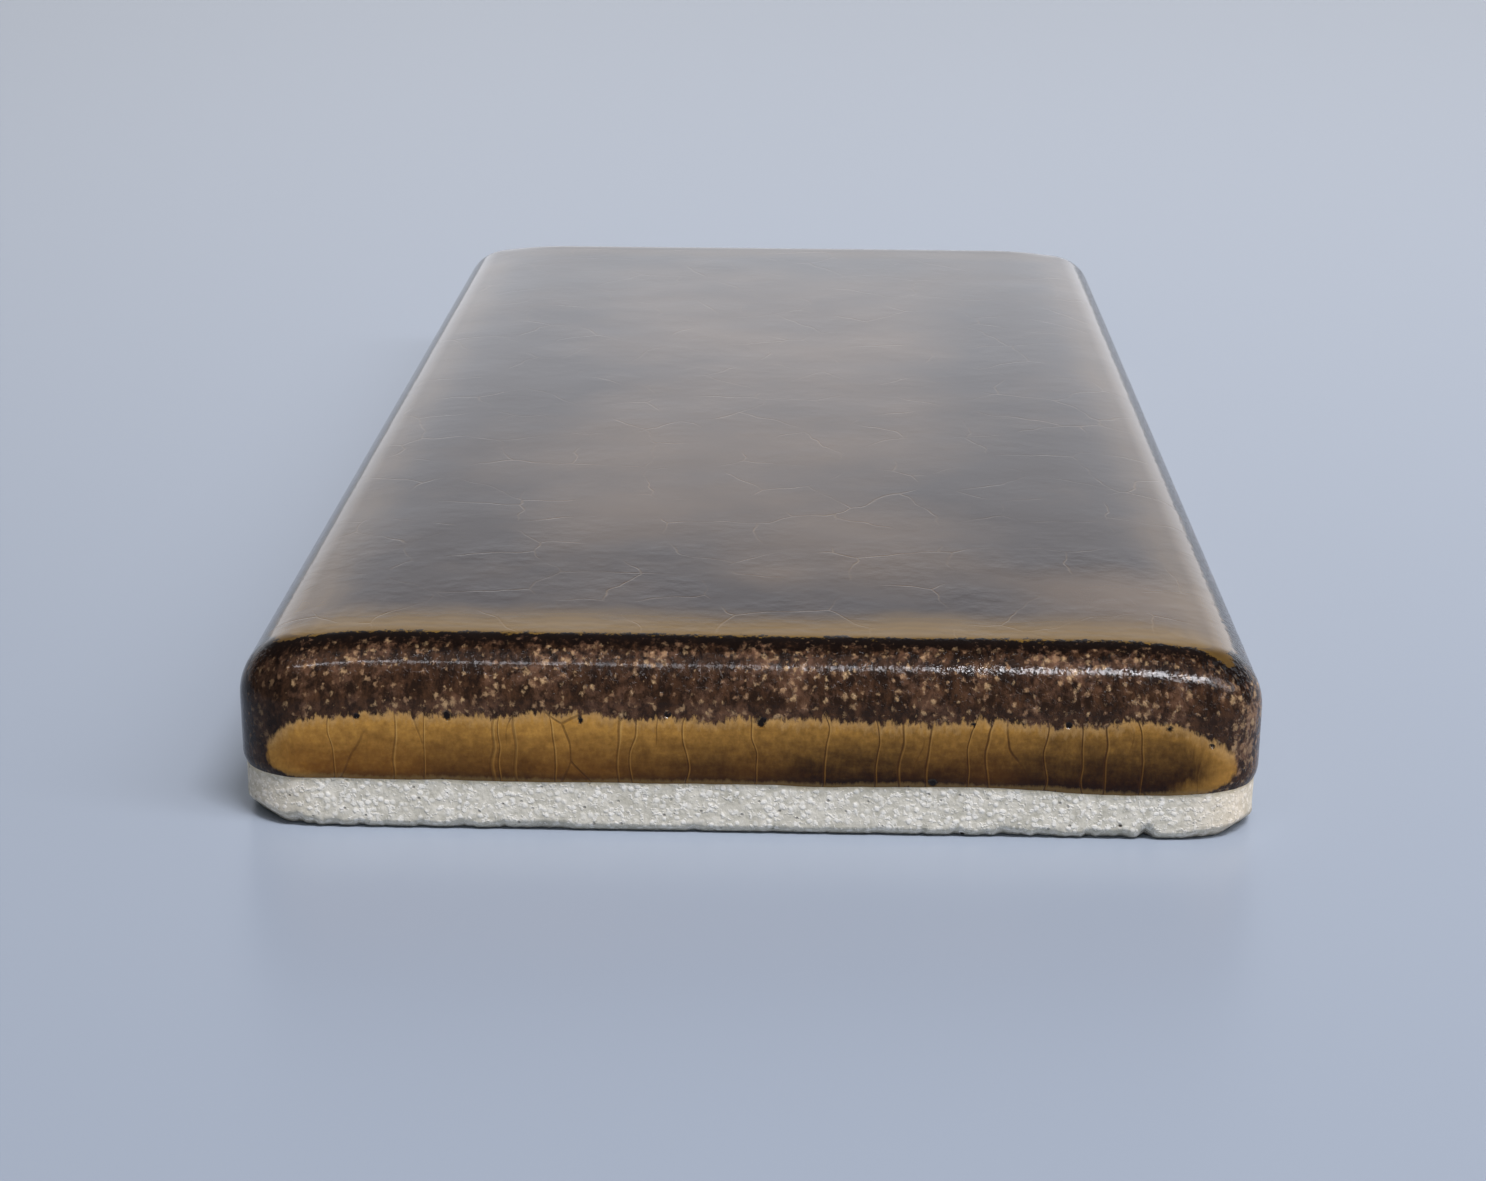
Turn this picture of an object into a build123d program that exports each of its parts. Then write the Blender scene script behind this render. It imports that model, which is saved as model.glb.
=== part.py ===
from build123d import *
import os

# A glazed stoneware field tile with a cushion edge, lying face up.
# Millimetres, +Z up, length along Y, origin at the centre of the bedding face.

# Plan of the tile over its glaze
tile_width = 75.0
tile_length = 150.0

# Section from the bedding face upwards: bare foot, upright glazed wall, cushion edge
foot_height = 3.9
wall_height = 5.6
cushion_radius = 4.5

# The face is flat along its middle and falls away in a wide arc towards each long edge
shoulder_width = 12.0
shoulder_radius = 55.0

# Plan radius that the corners of the face keep inside the cushion edge
face_corner_radius = 0.7

# The fired glaze stands proud of the bare clay and ends in a rounded lip
glaze_build = 0.2
glaze_lip_radius = 0.12

# Eased lower edge of the foot
base_arris = 0.5

tile_thickness = foot_height + wall_height + cushion_radius
corner_radius = cushion_radius + face_corner_radius
foot_width = tile_width - 2 * glaze_build
foot_length = tile_length - 2 * glaze_build
foot_corner_radius = corner_radius - glaze_build


def crowned_bar():
    """A bar along Y with the section across the tile: upright sides, flat face, falling shoulders."""
    shoulder_drop = shoulder_radius - (shoulder_radius**2 - shoulder_width**2) ** 0.5
    shoulder_start = (tile_width / 2 - shoulder_width, tile_thickness)
    side_top = (tile_width / 2, tile_thickness - shoulder_drop)
    side_foot = (tile_width / 2, foot_height)
    half = [
        Line((0, foot_height), side_foot),
        Line(side_foot, side_top),
        RadiusArc(side_top, shoulder_start, -shoulder_radius),
        Line(shoulder_start, (0, tile_thickness)),
    ]
    section = make_face(half + [mirror(edge, Plane.YZ) for edge in half])
    return extrude(Plane.XZ * section, tile_length / 2, both=True)


def glazed_block():
    """The glazed part of the section, with its cushion edge and the lip at the glaze line."""
    block = fillet(crowned_bar().edges().filter_by(Axis.Z), corner_radius)
    upright = block.faces().filter_by(lambda face: round(face.normal_at().Z, 6) == 0)
    above_foot = upright.edges().filter_by(lambda edge: edge.bounding_box().min.Z > foot_height)
    block = fillet(above_foot.filter_by(Axis.Z, reverse=True), cushion_radius)
    return fillet(block.faces().sort_by(Axis.Z)[0].edges(), min(glaze_lip_radius, glaze_build))


def bare_foot():
    """The unglazed foot, set back under the glaze, with its lower edge eased."""
    plan = RectangleRounded(foot_width, foot_length, foot_corner_radius)
    foot = extrude(plan, foot_height)
    return chamfer(foot.faces().sort_by(Axis.Z)[0].edges(), base_arris)


glazed_tile = bare_foot() + glazed_block()
glazed_tile.label = "glazed_tile"

os.makedirs("parts", exist_ok=True)
export_step(glazed_tile, "parts/glazed_tile.step")
print(f"glazed_tile {tile_width} x {tile_length} x {tile_thickness} mm, {glazed_tile.volume / 1000:.1f} cm3")
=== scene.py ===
# %% [markdown]
# # A glazed stoneware field tile
# One tile, pressed and fired as one piece. Its face and sides carry a brown and amber iron glaze, and a
# strip of bare clay shows round the foot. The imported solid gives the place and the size. This lesson
# dresses it: a finer mesh with the small relief of glaze and clay, and two finishes made of nodes.

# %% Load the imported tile
import math
import bpy
import numpy as np
from functools import partial
from mathutils import Matrix, Vector


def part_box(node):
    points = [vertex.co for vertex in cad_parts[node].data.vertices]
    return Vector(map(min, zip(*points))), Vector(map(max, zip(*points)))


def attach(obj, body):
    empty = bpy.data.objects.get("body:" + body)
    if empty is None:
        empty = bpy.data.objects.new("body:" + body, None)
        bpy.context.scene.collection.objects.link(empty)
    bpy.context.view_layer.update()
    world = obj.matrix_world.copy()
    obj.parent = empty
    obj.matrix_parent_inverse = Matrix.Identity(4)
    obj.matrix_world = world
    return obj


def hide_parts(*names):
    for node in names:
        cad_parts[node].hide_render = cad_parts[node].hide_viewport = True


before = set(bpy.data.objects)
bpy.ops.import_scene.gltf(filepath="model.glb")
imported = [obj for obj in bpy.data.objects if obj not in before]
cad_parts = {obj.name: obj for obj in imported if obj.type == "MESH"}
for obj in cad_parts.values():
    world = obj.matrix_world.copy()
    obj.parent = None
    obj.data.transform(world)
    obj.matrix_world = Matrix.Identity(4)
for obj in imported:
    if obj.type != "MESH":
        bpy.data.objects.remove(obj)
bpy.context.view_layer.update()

tile_low, tile_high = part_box("glazed_tile")
print("tile from", tuple(tile_low), "to", tuple(tile_high))

# %% [markdown]
# ## Sizes
# The outside sizes come from the frame. The section has a few more: the bare foot, the upright wall,
# the round cushion edge, and the shoulders where the face falls away to the long sides. They repeat the
# values the solid was made with, in metres.

# %% Sizes of the section
MM = 0.001
WIDTH, LENGTH, THICKNESS = tile_high - tile_low
FOOT_HEIGHT = 3.9 * MM
WALL_HEIGHT = 5.6 * MM
CUSHION_RADIUS = THICKNESS - FOOT_HEIGHT - WALL_HEIGHT
CORNER_RADIUS = CUSHION_RADIUS + 0.7 * MM
SHOULDER_WIDTH = 12.0 * MM
SHOULDER_RADIUS = 55.0 * MM
GLAZE_BUILD = 0.2 * MM
BASE_ARRIS = 0.5 * MM

# Distances up the side are measured along the surface from the glaze line: up the wall, round the edge
EDGE_RUN = WALL_HEIGHT + CUSHION_RADIUS * math.pi / 2
FACE_RUN = EDGE_RUN + CORNER_RADIUS - CUSHION_RADIUS
print(f"cushion radius {CUSHION_RADIUS / MM:.2f} mm, edge ends {EDGE_RUN / MM:.2f} mm above the glaze line")

# %% [markdown]
# ## Two small helpers
# A colour picked from a picture is sRGB, but a shader works with linear light, so one function turns the
# hex value round. Node trees are long, so one function adds a node: its settings go in by name, and what
# feeds its sockets goes in by order. A short word for each sum keeps the trees readable.


# %% Colour and node helpers
def srgb(hex_value):
    """Linear RGBA from an sRGB hex value such as 8a6532."""
    channels = [int(hex_value[i:i + 2], 16) / 255 for i in (0, 2, 4)]
    return [c / 12.92 if c <= 0.04045 else ((c + 0.055) / 1.055) ** 2.4 for c in channels] + [1.0]


def add(tree, kind, *feeds, **settings):
    """Adds a node. Each feed fills one socket: a value, a socket, a node, or None to leave it alone."""
    name, *operation = kind.split()
    node = tree.nodes.new(name)
    if operation:
        node.operation = operation[0]
    for setting, value in settings.items():
        setattr(node, setting, value)
    for socket, feed in zip([s for s in node.inputs if s.enabled], feeds):
        if isinstance(feed, bpy.types.Node):
            feed = next(s for s in feed.outputs if s.enabled)
        if isinstance(feed, bpy.types.NodeSocket):
            tree.links.new(feed, socket)
        elif feed is not None:
            socket.default_value = feed
    return node


PLUS = "ShaderNodeMath ADD"
MINUS = "ShaderNodeMath SUBTRACT"
TIMES = "ShaderNodeMath MULTIPLY"
TIMES_PLUS = "ShaderNodeMath MULTIPLY_ADD"
OVER = "ShaderNodeMath DIVIDE"
LARGER = "ShaderNodeMath MAXIMUM"
SMALLER = "ShaderNodeMath MINIMUM"
UNSIGNED = "ShaderNodeMath ABSOLUTE"
ROOT = "ShaderNodeMath SQRT"
MOVE = "ShaderNodeVectorMath ADD"
STRETCH = "ShaderNodeVectorMath MULTIPLY"
SCALE = "ShaderNodeVectorMath SCALE"
RANGE = "ShaderNodeMapRange"
NOISE = "ShaderNodeTexNoise"
VORONOI = "ShaderNodeTexVoronoi"
MIX = "ShaderNodeMix"
SPLIT = "ShaderNodeSeparateXYZ"
COMBINE = "ShaderNodeCombineXYZ"
BEND = "ShaderNodeVectorMath MULTIPLY_ADD"
DISTANCE = "ShaderNodeVectorMath DISTANCE"
SMOOTH = {"interpolation_type": "SMOOTHSTEP"}
print("amber in linear light:", [round(c, 3) for c in srgb("8a6532")])

# %% [markdown]
# ## Camera
# The picture was taken close to the front edge, looking down by about 18 degrees. The lens and the place
# were found by fitting the tile's edges. A focal length in pixels becomes millimetres through the sensor
# width, so the frame of 1486 by 1181 pixels keeps its angle of view.

# %% Camera at the viewing angle of the picture
IMAGE_WIDTH = 1486
FOCAL_PIXELS = 2787
CAMERA_PLACE = (4.4 * MM, tile_low.y - 186.7 * MM, 80.8 * MM)
CAMERA_TURN_LEFT = math.radians(1.46)
CAMERA_LOOK_DOWN = math.radians(18.37)
CAMERA_ROLL = math.radians(0.33)

camera_data = bpy.data.cameras.new("camera")
camera_data.sensor_width = 36.0
camera_data.lens = camera_data.sensor_width * FOCAL_PIXELS / IMAGE_WIDTH
camera_data.clip_start = 0.01
camera = bpy.data.objects.new("camera", camera_data)
camera.matrix_world = (
    Matrix.Translation(CAMERA_PLACE)
    @ Matrix.Rotation(CAMERA_TURN_LEFT, 4, "Z")
    @ Matrix.Rotation(math.pi / 2 - CAMERA_LOOK_DOWN, 4, "X")
    @ Matrix.Rotation(CAMERA_ROLL, 4, "Z")
)
bpy.context.collection.objects.link(camera)
bpy.context.scene.camera = camera
bpy.context.scene.view_settings.view_transform = "Standard"
print(f"lens {camera_data.lens:.2f} mm")

# %% [markdown]
# ## Floor and light
# The floor is a plain pale sheet with a trace of blue. The sky in front of the tile fills the shade. Behind
# it the sky glows only low down, where the flat face mirrors it, and is dim higher up, so the top of the
# cushion edge mirrors nothing and stays dark. To the left the sky is dimmer, which keeps that corner dark.
# Three strip lamps hang in a row high in front. The round edge mirrors each of them as a line of light:
# thin along the whole edge, brighter on the right, and broad and soft round the right corner.

# %% Floor
# A painted studio board has a satin skin, so it mirrors the glow behind the tile softly
FLOOR_SIZE = 6.0
FLOOR_CLEARANCE = 0.02 * MM
floor_material = bpy.data.materials.new("painted_board")
floor_material.use_nodes = True
floor_shader = floor_material.node_tree.nodes["Principled BSDF"]
floor_shader.inputs["Base Color"].default_value = srgb("9099a5")
floor_shader.inputs["Roughness"].default_value = 0.3
half_floor = FLOOR_SIZE / 2
floor_points = [(x * half_floor, y * half_floor, 0) for x, y in ((-1, -1), (1, -1), (1, 1), (-1, 1))]
floor_mesh = bpy.data.meshes.new("floor")
floor_mesh.from_pydata(floor_points, [], [(0, 1, 2, 3)])
floor_mesh.materials.append(floor_material)
floor = bpy.data.objects.new("floor", floor_mesh)
floor.location.z = tile_low.z - FLOOR_CLEARANCE
bpy.context.collection.objects.link(floor)
print("floor", FLOOR_SIZE, "m square")

# %% Sky
SKY_IN_FRONT = 0.30
SKY_OVERHEAD = 0.82
SKY_HIGH_BEHIND = 0.12
HORIZON_GLOW = 1.48
SKY_AT_LEFT = 0.6
GLOW_STEEPNESS = 1.5
world = bpy.data.worlds.new("soft_sky")
world.use_nodes = True
bpy.context.scene.world = world
sky = world.node_tree
backdrop = sky.nodes["Background"]
backdrop.inputs["Color"].default_value = srgb("e8ecf4")
sky_node = partial(add, sky)
direction = sky_node(SPLIT, sky_node("ShaderNodeTexCoord").outputs["Generated"]).outputs

# A direction's X, Y and Z run from -1 to 1, and each part of the sky fades in between two of their values
half_sky = sky_node(RANGE, direction["Y"], 0.25, -0.35, SKY_HIGH_BEHIND, SKY_IN_FRONT, **SMOOTH)
high = sky_node(RANGE, direction["Z"], 0.76, 0.97, **SMOOTH)
not_behind = sky_node(RANGE, direction["Y"], 0.25, -0.05, 0.0, SKY_OVERHEAD - SKY_IN_FRONT, **SMOOTH)
low_behind = sky_node(TIMES_PLUS, direction["Z"], -GLOW_STEEPNESS, direction["Y"])
glow = sky_node(RANGE, low_behind, 0.0, 0.8, 0.0, HORIZON_GLOW, **SMOOTH)
whole_sky = sky_node(PLUS, sky_node(TIMES_PLUS, high, not_behind, half_sky), glow)
left_share = sky_node(RANGE, direction["X"], -0.1, -0.8, 1.0, SKY_AT_LEFT, **SMOOTH)
strength = sky_node(TIMES, whole_sky, left_share)
sky.links.new(strength.outputs["Value"], backdrop.inputs["Strength"])
print("sky:", SKY_IN_FRONT, "in front,", SKY_HIGH_BEHIND + HORIZON_GLOW, "at the horizon behind")

# %% Lamps
LAMP_COLOUR = "f6f5fb"
LAMP_Y, LAMP_HEIGHT = -0.41, 0.9
STRIP_LAMPS = (
    # name, place along x, length and breadth in metres, watts
    ("long_strip", 0.0, 0.8, 0.022, 2.0),
    ("right_strip", 0.27, 0.4, 0.075, 9.6),
    ("corner_strip", 1.1, 1.2, 0.20, 10.0),
)
for name, lamp_x, length, breadth, watts in STRIP_LAMPS:
    lamp_data = bpy.data.lights.new(name, "AREA")
    lamp_data.shape = "RECTANGLE"
    lamp_data.size, lamp_data.size_y = length, breadth
    lamp_data.energy = watts
    lamp_data.color = srgb(LAMP_COLOUR)[:3]
    lamp = bpy.data.objects.new(name, lamp_data)
    # It faces the front edge straight below its own middle, so that its length stays level
    lamp_place = Vector((lamp_x, LAMP_Y, LAMP_HEIGHT))
    aim = (Vector((lamp_x, tile_low.y, tile_high.z)) - lamp_place).to_track_quat("-Z", "Y")
    lamp.matrix_world = Matrix.Translation(lamp_place) @ aim.to_matrix().to_4x4()
    bpy.context.collection.objects.link(lamp)
print("lamps:", [row[0] for row in STRIP_LAMPS])

# %% [markdown]
# ## The net
# The glazed skin can be thought of as one sheet, cut flat like the net of a paper box: a grid for the
# face, and round it a band of rows that will be folded down as edge, wall and foot. Laying out the flat
# net takes only loops. Folding it is left to Geometry Nodes, where the section is a rule with sizes.

# %% Columns round the tile
CELL = 1.0 * MM
COLUMNS_PER_CELL = 3
COLUMNS_PER_CORNER = 24

core_x = WIDTH / 2 - CORNER_RADIUS
core_y = LENGTH / 2 - CORNER_RADIUS
cells_x = round(2 * core_x / CELL)
cells_y = round(2 * core_y / CELL)
corner_cells = np.array([(0, cells_y), (0, 0), (cells_x, 0), (cells_x, cells_y), (0, cells_y)])

# Each column is a place on the edge of the face grid, in cells, and the angle it points to
column_cells, column_angles = [], []
for side in range(4):
    here, there = corner_cells[side], corner_cells[side + 1]
    facing = 180 + 90 * side
    turn = 45 if side == 0 else 90
    for angle in np.linspace(facing - turn, facing, COLUMNS_PER_CORNER * turn // 90, endpoint=False):
        column_cells.append(here)
        column_angles.append(angle)
    for step in np.linspace(0, 1, COLUMNS_PER_CELL * np.abs(there - here).sum(), endpoint=False):
        column_cells.append(here + step * (there - here))
        column_angles.append(facing)
for angle in np.linspace(450, 495, COLUMNS_PER_CORNER // 2, endpoint=False):
    column_cells.append(corner_cells[4])
    column_angles.append(angle)

column_cells = np.array(column_cells)
column_angles = np.radians(column_angles)
column_out = np.stack([np.cos(column_angles), np.sin(column_angles)], axis=1)
column_core = column_cells / (cells_x, cells_y) * (2 * core_x, 2 * core_y) - (core_x, core_y)
column_count = len(column_cells)
print(column_count, "columns round the tile,", cells_x, "by", cells_y, "cells on the face")

# %% Distances round the tile
# girth is the way round the wall, corner the way to the middle of the nearest corner
outline = column_core + CORNER_RADIUS * column_out
steps = np.linalg.norm(np.roll(outline, -1, axis=0) - outline, axis=1)
girth = np.concatenate([[0], np.cumsum(steps)])
corner_columns = [np.argmin(np.abs(column_angles - np.radians(turn))) for turn in (135, 225, 315, 405)]
corner_places = [*girth[corner_columns], girth[-1]]
corner = np.min(np.abs(girth[:-1, None] - np.array(corner_places)), axis=1)
on_short_side = np.abs(column_out[:, 1]) >= np.abs(column_out[:, 0])

# The amber on a short wall reaches a little way round the corner, and on a long wall it starts past it
SHORT_SIDE_OVERLAP = -0.9 * MM
LONG_SIDE_START = 4.0 * MM
panel_end = np.where(
    on_short_side,
    corner + SHORT_SIDE_OVERLAP,
    np.maximum(SHORT_SIDE_OVERLAP - corner, corner - LONG_SIDE_START),
)
print(f"girth {girth[-1] / MM:.1f} mm")

# %% Rows down the side
# The glaze thins out over the last stretch of the wall, and the foot lies back under it
LIP_HEIGHT = 0.9 * MM
edge_rows = np.linspace(EDGE_RUN, WALL_HEIGHT, 16)
wall_rows = np.linspace(WALL_HEIGHT, LIP_HEIGHT, 12)[1:]
lip_rows = np.linspace(LIP_HEIGHT, 0, 7)[1:]
foot_rows = np.linspace(0, -FOOT_HEIGHT, 17)[1:]
rows = np.concatenate([edge_rows, wall_rows, lip_rows, foot_rows])
row_count = len(rows)
print(row_count, "rows from the face to the floor")

# %% Points of the net
grid_lines = np.linspace(-core_x, core_x, cells_x + 1), np.linspace(-core_y, core_y, cells_y + 1)
face_points = np.stack([axis.ravel() for axis in np.meshgrid(*grid_lines, indexing="ij")], axis=1)
band_points = (column_core[None] + (FACE_RUN - rows)[:, None, None] * column_out[None]).reshape(-1, 2)
net_points = np.concatenate([face_points, band_points, face_points])

face_count = len(face_points)
band_start = face_count
under_start = face_count + len(band_points)
UNDER_RUN = -FOOT_HEIGHT - 1.0 * MM
from_grid_edge = np.minimum(core_x - np.abs(face_points[:, 0]), core_y - np.abs(face_points[:, 1]))
side_run = np.repeat(rows, column_count)
point_run = np.concatenate([FACE_RUN + from_grid_edge, side_run, np.full(face_count, UNDER_RUN)])
far_off = np.full(face_count, WIDTH)
point_corner = np.concatenate([far_off, np.tile(corner, row_count), far_off])
point_end = np.concatenate([far_off, np.tile(panel_end, row_count), far_off])
print(len(net_points), "points in the net")


# %% Faces of the net
def grid_quads(start, flip):
    """Quads of one face grid whose first point has this number."""
    numbers = start + np.arange(face_count).reshape(cells_x + 1, cells_y + 1)
    cell_corners = numbers[:-1, :-1], numbers[1:, :-1], numbers[1:, 1:], numbers[:-1, 1:]
    grid = np.stack(cell_corners, axis=-1).reshape(-1, 4)
    return grid[:, ::-1] if flip else grid


this_column = np.arange(column_count)
next_column = (this_column + 1) % column_count
band = band_start + np.arange(row_count * column_count).reshape(row_count, column_count)
band_quads = np.stack(
    [band[1:, this_column], band[1:, next_column], band[:-1, next_column], band[:-1, this_column]], axis=-1
).reshape(-1, 4)

# The fine columns meet the coarser face grid in a row of triangles
nearest = np.rint(column_cells).astype(int)
grid_edge = nearest[:, 0] * (cells_y + 1) + nearest[:, 1]


def joining_triangles(ring, edge, flip):
    """Triangles between a ring of columns and the edge points of a face grid."""
    fan = np.stack([ring[this_column], ring[next_column], edge[this_column]], axis=-1)
    moved = edge[this_column] != edge[next_column]
    infill = np.stack([edge[this_column], ring[next_column], edge[next_column]], axis=-1)[moved]
    joint = np.concatenate([fan, infill])
    return joint[:, ::-1] if flip else joint


quads = np.concatenate([grid_quads(0, False), band_quads, grid_quads(under_start, True)])
face_join = joining_triangles(band[0], grid_edge, False)
under_join = joining_triangles(band[-1], under_start + grid_edge, True)
triangles = np.concatenate([face_join, under_join])
print(2 * len(quads) + len(triangles), "triangles")

# %% Mesh of the net, with its measures as attributes
net = bpy.data.meshes.new("tile")
flat_points = np.column_stack([net_points, np.zeros(len(net_points))])
net.from_pydata(flat_points.tolist(), [], quads.tolist() + triangles.tolist())
for name, values in (("run", point_run), ("corner", point_corner), ("panel_end", point_end)):
    net.attributes.new(name, "FLOAT", "POINT").data.foreach_set("value", values.astype(np.float32))
net.polygons.foreach_set("use_smooth", np.ones(len(net.polygons), dtype=bool))

tile = bpy.data.objects.new("tile", net)
bpy.context.collection.objects.link(tile)
print("net has", len(net.polygons), "faces")

# %% Unrolled side as a UV map
# Way round and way up, in metres. The last column of faces closes on the full girth
face_cells = cells_x * cells_y
loop_points = np.empty(len(net.loops), dtype=np.int32)
net.loops.foreach_get("vertex_index", loop_points)
loop_face = np.repeat(np.arange(len(net.polygons)), [p.loop_total for p in net.polygons])
on_side = (loop_face >= face_cells) & (loop_face < face_cells + len(band_quads))
loop_column = (loop_face - face_cells) % column_count
loop_girth = np.where(on_side, girth[(loop_points - band_start) % column_count], 0.0)
loop_girth[on_side & (loop_column == column_count - 1) & (loop_girth == 0.0)] = girth[-1]
loop_run = point_run[loop_points]


def uv_map(name, places):
    """Stores a UV map from one place for each face corner."""
    net.uv_layers.new(name=name).data.foreach_set("uv", places.astype(np.float32).ravel())


uv_map("wrap", np.column_stack([loop_girth, loop_run]))
print("unrolled side:", on_side.sum(), "face corners")

# %% [markdown]
# ## A map for baking
# A program without Blender's nodes needs the finish as pictures, so the skin is laid out in one square.
# The side has the finest pattern and gets most of it, cut into four strips one above the other. The face
# lies above them on its side, and the plain underside takes the corner that is left.

# %% Layout of the bake
# In pixels of the square, with scales in pixels for each metre of skin
SQUARE = 1024
GAP = 8
STRIPS = 4
SIDE_SCALE, FACE_SCALE, UNDER_SCALE = 9.0 / MM, 5.5 / MM, 2.1 / MM

strip_length = girth[-1] / STRIPS
strip = np.minimum(girth[loop_column] // strip_length, STRIPS - 1)
strip_start = girth[np.searchsorted(girth, np.arange(STRIPS) * strip_length)]
strip_height = (EDGE_RUN + FOOT_HEIGHT) * SIDE_SCALE + GAP
along = (loop_girth - strip_start[strip.astype(int)]) * SIDE_SCALE
bake = np.column_stack([GAP + along, GAP + strip * strip_height + (loop_run + FOOT_HEIGHT) * SIDE_SCALE])

above_strips = 2 * GAP + STRIPS * strip_height
flat_x, flat_y = net_points[loop_points].T
join = FACE_RUN - EDGE_RUN
on_top = (loop_face < face_cells) | ((loop_face >= len(quads)) & (loop_face < len(quads) + len(face_join)))
face_layout = np.column_stack([flat_y + core_y + join, core_x + join - flat_x]) * FACE_SCALE
bake[on_top] = (face_layout + (GAP, above_strips))[on_top]

on_under = ~on_side & ~on_top
under_join_width = FACE_RUN + FOOT_HEIGHT
under_corner = (3 * GAP + 2 * (core_y + join) * FACE_SCALE, above_strips)
under_layout = np.column_stack([core_x - flat_x, flat_y + core_y]) + under_join_width
bake[on_under] = (under_layout * UNDER_SCALE + under_corner)[on_under]
uv_map("OFBake", bake / SQUARE)
print("bake layout up to", np.round(bake.max(axis=0)), "of", SQUARE, "pixels")

# %% [markdown]
# ## Bare fired stoneware
# The foot was wiped clean before firing, so it shows the clay: off-white and gritty, with round white
# grains, open pits darkened with painted shade and a few dark iron specks, dull all over. Close under the
# glaze it is stained cream, and near the corners the kiln left a peach flush. A fine noise alone looks like
# paper, so cells give the
# grains, with a noise that bends them out of round.

# %% Clay body and white grains
stoneware = bpy.data.materials.new("fired_stoneware")
stoneware.use_nodes = True
clay = stoneware.node_tree
clay_node = partial(add, clay)
clay_shader = clay.nodes["Principled BSDF"]
# Fired clay is rough and has no glassy skin, so it looks chalky and shows no highlight
clay_shader.inputs["Roughness"].default_value = 0.85
clay_place = clay_node("ShaderNodeTexCoord").outputs["Object"]
clay_run = clay_node("ShaderNodeAttribute", attribute_name="run").outputs["Fac"]
clay_corner = clay_node("ShaderNodeAttribute", attribute_name="corner").outputs["Fac"]

body_noise = clay_node(NOISE, clay_place, 1 / (0.8 * MM), 4.0, 0.65)
clay_colour = clay_node(
    MIX, clay_node(RANGE, body_noise, 0.34, 0.66), srgb("bdb8a7"), srgb("e2dccc"), data_type="RGBA"
)
grain_bend = clay_node(NOISE, clay_place, 1 / (0.4 * MM), 2.0).outputs["Color"]
grain_place = clay_node(BEND, grain_bend, (0.3 * MM,) * 3, clay_place)
grains = clay_node(VORONOI, grain_place, 1 / (0.48 * MM))
grain_pick = clay_node(RANGE, clay_node(SPLIT, grains.outputs["Color"]).outputs["X"], 0.25, 0.75, 0.0, 0.85)
grain_mask = clay_node(TIMES, clay_node(RANGE, grains, 0.55, 0.25), grain_pick)
grit = clay_node(NOISE, clay_place, 1 / (0.36 * MM), 2.0, 0.55)
grain_mask = clay_node(LARGER, grain_mask, clay_node(RANGE, grit, 0.54, 0.66, 0.0, 0.7))
clay_colour = clay_node(MIX, grain_mask, clay_colour, srgb("f6f2e8"), data_type="RGBA")
print("white grains 0.5 mm apart")

# %% Pits and dark specks of the clay
# The pits are darkened to grey: painted shade in the open pits
pits = clay_node(VORONOI, clay_place, 1 / (0.8 * MM))
pit_pick = clay_node(RANGE, clay_node(SPLIT, pits.outputs["Color"]).outputs["Y"], 0.55, 0.60, 0.0, 0.7)
pit_mask = clay_node(TIMES, clay_node(RANGE, pits, 0.17, 0.09), pit_pick)
clay_colour = clay_node(MIX, pit_mask, clay_colour, srgb("77736a"), data_type="RGBA")
specks = clay_node(VORONOI, clay_place, 1 / (1.9 * MM))
speck_pick = clay_node(RANGE, clay_node(SPLIT, specks.outputs["Color"]).outputs["Y"], 0.66, 0.70)
speck_mask = clay_node(TIMES, clay_node(RANGE, specks, 0.10, 0.06), speck_pick)
clay_colour = clay_node(MIX, speck_mask, clay_colour, srgb("3c2f26"), data_type="RGBA")
print("pits 0.8 mm and specks 1.9 mm apart, some left out")

# %% Cream stain, peach flush and grit relief
stain_edge = clay_node(NOISE, clay_place, 1 / (1.4 * MM), 3.0)
stain_place = clay_node(TIMES_PLUS, stain_edge, 0.5 * MM, clay_run)
stain = clay_node(RANGE, stain_place, -0.1 * MM, 0.3 * MM, 0.0, 0.5)
clay_colour = clay_node(MIX, stain, clay_colour, srgb("cdb98a"), data_type="RGBA")
flush_side = clay_node(RANGE, clay_node(SPLIT, clay_place).outputs["X"], -WIDTH / 2, WIDTH / 2, 0.2, 0.28)
flush = clay_node(TIMES, clay_node(RANGE, clay_corner, 6.0 * MM, 0.5 * MM), flush_side)
clay_colour = clay_node(MIX, flush, clay_colour, srgb("e8cba2"), data_type="RGBA")
clay_height = clay_node(TIMES_PLUS, grain_mask, 0.04 * MM, clay_node(TIMES, body_noise, 0.07 * MM))
clay_height = clay_node(TIMES_PLUS, clay_node(LARGER, pit_mask, speck_mask), -0.1 * MM, clay_height)
clay_bump = clay_node("ShaderNodeBump", 1.0, 1.0, None, clay_height)
clay.links.new(clay_colour.outputs[2], clay_shader.inputs["Base Color"])
clay.links.new(clay_bump.outputs["Normal"], clay_shader.inputs["Normal"])
print("bare stoneware:", len(clay.nodes), "nodes")

# %% [markdown]
# ## Iron glaze
# An iron glaze is glass stained brown. Where it runs thick it is near black, where it is thin it breaks to
# tan and amber, and as it cools it crazes into fine lines. It could be one colour with noise, but on this
# tile the colours lie in zones: an amber panel low on each wall, a dark mottled band round the cushion edge,
# an amber rim on the face and cloudy browns inside it. The zones are drawn from the distances on the net.

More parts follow.
